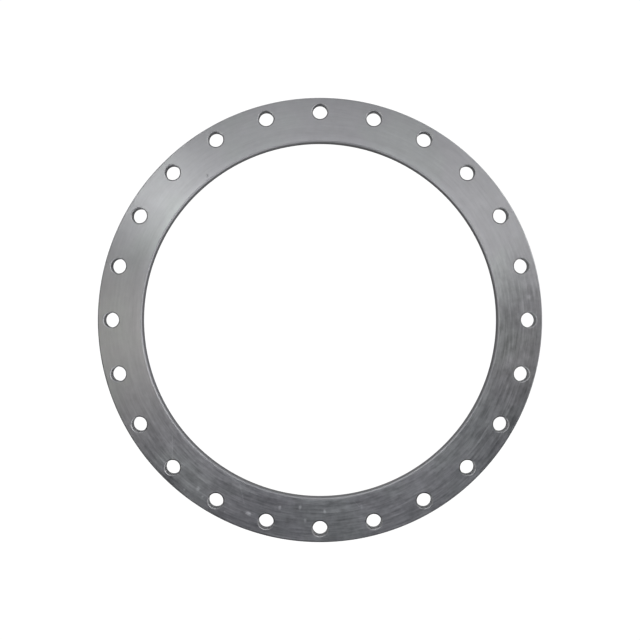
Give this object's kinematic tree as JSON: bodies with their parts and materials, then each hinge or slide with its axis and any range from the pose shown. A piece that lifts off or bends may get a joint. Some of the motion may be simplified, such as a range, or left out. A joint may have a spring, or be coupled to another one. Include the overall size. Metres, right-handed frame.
{
  "type": "plate ring flange",
  "caption": "Flat machined steel ring flange with a large plain bore, a chamfered bore edge and one circle of bolt holes close to its rim.",
  "frame": {"origin": "centre of the bore on the back face, which the ring lies on", "axes": "+Z along the bore, from the back face to the gasket face; +X through the centre of a bolt hole"},
  "size_m": [0.895, 0.895, 0.035],
  "materials": {
    "turned_steel": "lathe-turned stainless steel with fine concentric tool marks, semi-matt"
  },
  "bodies": {
    "root": {"flange_ring": "turned_steel"}
  },
  "joints": []
}
